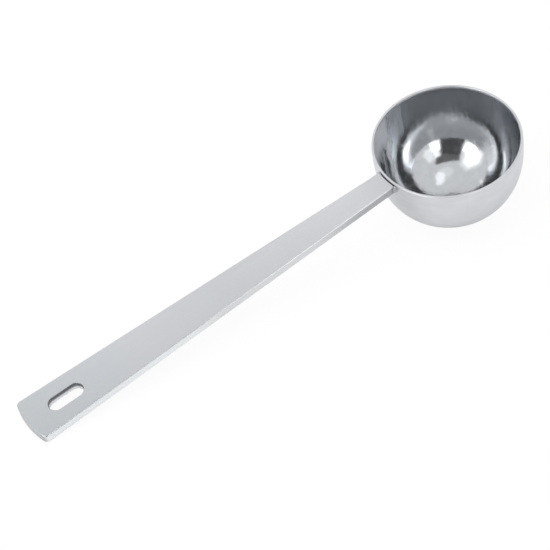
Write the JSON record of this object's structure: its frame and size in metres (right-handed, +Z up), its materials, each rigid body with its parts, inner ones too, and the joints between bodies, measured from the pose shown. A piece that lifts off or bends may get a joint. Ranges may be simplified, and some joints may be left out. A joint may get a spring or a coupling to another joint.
{
  "type": "long-handled measuring scoop",
  "caption": "Stainless steel measuring scoop: a deep round bowl welded to a long flat tapering handle with a hanging slot near its wide end.",
  "frame": {"origin": "on the table, under the middle of the part as it lies on its bowl and the tip of its handle", "axes": "+Z up from the table, +X along the part from the handle's tip towards the bowl, Y across it"},
  "size_m": [0.1384, 0.0364, 0.0233],
  "materials": {
    "bowl_steel": "polished stainless steel, mirror bright inside and softly satin outside",
    "handle_steel": "satin stainless steel with a fine tumbled grain",
    "weld_steel": "dull grey weld metal"
  },
  "bodies": {
    "root": {"bowl": "bowl_steel", "handle": "handle_steel", "weld_bead_near": "weld_steel", "weld_bead_far": "weld_steel", "weld_bead_under": "weld_steel"}
  },
  "joints": []
}
